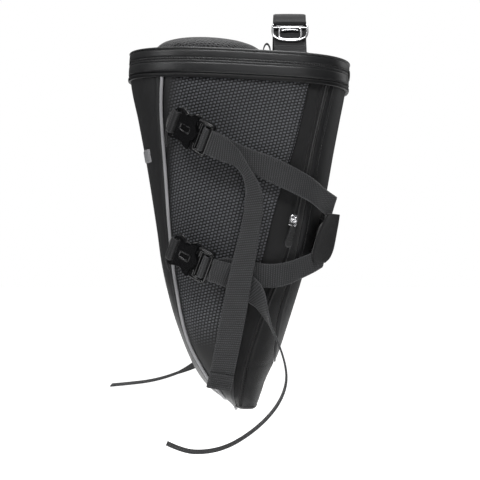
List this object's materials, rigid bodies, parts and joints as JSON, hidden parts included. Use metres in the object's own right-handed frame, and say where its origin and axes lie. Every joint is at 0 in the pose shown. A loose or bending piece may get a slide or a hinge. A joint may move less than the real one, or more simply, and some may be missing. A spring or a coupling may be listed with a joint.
{
  "type": "tail bag",
  "caption": "Hard-shell wedge-shaped tail bag with a hinged zipped lid, webbing harness with side-release buckles, a gusset zip and a carry handle.",
  "frame": {"origin": "centre of the flat of the base panel, the face that lies on a seat", "axes": "+Z from the narrow end to the lid, +X out of the base panel's side, Y across the bag, with the cover at -X"},
  "size_m": [0.2587, 0.2344, 0.4554],
  "materials": {
    "cover_vinyl": "smooth coated fabric over a moulded shell",
    "carbon_vinyl": "embossed weave-pattern coated fabric",
    "gusset_fabric": "matte woven polyester",
    "zip_coil": "nylon coil",
    "base_vinyl": "satin coated fabric over a moulded shell",
    "reflective": "light grey reflective film",
    "lining_fabric": "smooth polyester",
    "board": "extruded polyethylene board",
    "binding": "satin binding tape",
    "air_mesh": "open spacer mesh",
    "pad_fabric": "padded woven polyester",
    "chrome": "bright plated zinc",
    "pull_cord": "braided cord with a moulded grip",
    "webbing": "flat woven nylon",
    "buckle_plastic": "satin moulded acetal"
  },
  "bodies": {
    "root": {"cover_panel": "cover_vinyl", "side_panel_near": "carbon_vinyl", "side_panel_far": "carbon_vinyl", "gusset_upper_tape": "gusset_fabric", "gusset_lower_tape": "gusset_fabric", "gusset_zip_chain": "zip_coil", "base_panel": "base_vinyl", "reflective_piping": "reflective", "lining": "lining_fabric", "base_board": "board", "cover_badge": "reflective", "rim_binding": "binding", "rim_band": "base_vinyl", "rim_zip_coil": "zip_coil", "lid_hinge_strip": "gusset_fabric", "harness_pad": "pad_fabric", "upper_buckle_socket_near": "buckle_plastic", "upper_buckle_stub_near": "webbing", "upper_load_strap_near": "webbing", "upper_buckle_socket_far": "buckle_plastic", "upper_buckle_stub_far": "webbing", "upper_load_strap_far": "webbing", "lower_buckle_socket_near": "buckle_plastic", "lower_buckle_stub_near": "webbing", "lower_load_strap_near": "webbing", "lower_buckle_socket_far": "buckle_plastic", "lower_buckle_stub_far": "webbing", "lower_load_strap_far": "webbing"},
    "upper_plug_near": {"upper_buckle_plug_near": "buckle_plastic", "upper_buckle_arms_near": "buckle_plastic", "upper_tail_near": "webbing"},
    "upper_plug_far": {"upper_buckle_plug_far": "buckle_plastic", "upper_buckle_arms_far": "buckle_plastic", "upper_tail_far": "webbing"},
    "lower_plug_near": {"lower_buckle_plug_near": "buckle_plastic", "lower_buckle_arms_near": "buckle_plastic", "lower_tail_near": "webbing"},
    "lower_plug_far": {"lower_buckle_plug_far": "buckle_plastic", "lower_buckle_arms_far": "buckle_plastic", "lower_tail_far": "webbing"},
    "lid": {"lid_zip_coil": "zip_coil", "lid_band": "base_vinyl", "lid_top_panel": "base_vinyl", "lid_edge_piping": "binding", "lid_board": "board", "mesh_pad": "air_mesh", "handle_web_near": "webbing", "handle_web_far": "webbing", "handle_buckle": "chrome", "handle_loop": "webbing"},
    "handle_latch": {"handle_latch": "chrome"},
    "lid_slider": {"lid_slider": "chrome"},
    "lid_pull": {"lid_pull": "pull_cord"},
    "gusset_slider_near": {"gusset_slider_near": "chrome"},
    "gusset_pull_near": {"gusset_pull_near": "pull_cord"},
    "gusset_slider_far": {"gusset_slider_far": "chrome"},
    "gusset_pull_far": {"gusset_pull_far": "pull_cord"}
  },
  "joints": [
    {"name": "lid_hinge", "type": "hinge", "parent": "root", "child": "lid", "pos_m": [0.04824, 0, 0.20209], "axis": [0, 1, 0], "range_deg": [0, 110], "deforming": ["lid_hinge_strip"]},
    {"name": "handle_latch_slide", "type": "slide", "parent": "lid", "child": "handle_latch", "axis": [0, 0.4191, 0.908], "range_m": [-0.004, 0], "stiffness_N_per_m": 300, "springref_m": 0.001},
    {"name": "gusset_slide_near", "type": "slide", "parent": "root", "child": "gusset_slider_near", "axis": [-0.2971, 0.0469, -0.9537], "range_m": [0, 0.026]},
    {"name": "gusset_pull_swing_near", "type": "hinge", "parent": "gusset_slider_near", "child": "gusset_pull_near", "pos_m": [-0.01276, -0.08626, 0.04682], "axis": [0.8948, 0.3622, -0.2609], "range_deg": [-60, 0]},
    {"name": "gusset_slide_far", "type": "slide", "parent": "root", "child": "gusset_slider_far", "axis": [-0.2971, -0.0469, -0.9537], "range_m": [0, 0.026]},
    {"name": "gusset_pull_swing_far", "type": "hinge", "parent": "gusset_slider_far", "child": "gusset_pull_far", "pos_m": [-0.01276, 0.08626, 0.04682], "axis": [-0.8948, 0.3622, 0.2609], "range_deg": [-60, 0]},
    {"name": "lid_slider_slide", "type": "slide", "parent": "root", "child": "lid_slider", "axis": [0.9987, 0, -0.0519], "range_m": [0, 0.045]},
    {"name": "lid_pull_swing", "type": "hinge", "parent": "lid_slider", "child": "lid_pull", "pos_m": [-0.0946, 0.0977, 0.2037], "axis": [0.9987, 0, -0.0519], "range_deg": [0, 80]},
    {"name": "upper_buckle_release_near", "type": "slide", "parent": "root", "child": "upper_plug_near", "axis": [0.7862, -0.3751, -0.4911], "range_m": [0, 0.018], "deforming": ["upper_buckle_arms_near", "upper_load_strap_near", "upper_tail_near"]},
    {"name": "upper_buckle_release_far", "type": "slide", "parent": "root", "child": "upper_plug_far", "axis": [0.7862, 0.3751, -0.4911], "range_m": [0, 0.018], "deforming": ["upper_buckle_arms_far", "upper_load_strap_far", "upper_tail_far"]},
    {"name": "lower_buckle_release_near", "type": "slide", "parent": "root", "child": "lower_plug_near", "axis": [0.8203, -0.3301, -0.4671], "range_m": [0, 0.018], "deforming": ["lower_buckle_arms_near", "lower_load_strap_near", "lower_tail_near"]},
    {"name": "lower_buckle_release_far", "type": "slide", "parent": "root", "child": "lower_plug_far", "axis": [0.8203, 0.3301, -0.4671], "range_m": [0, 0.018], "deforming": ["lower_buckle_arms_far", "lower_load_strap_far", "lower_tail_far"]}
  ]
}
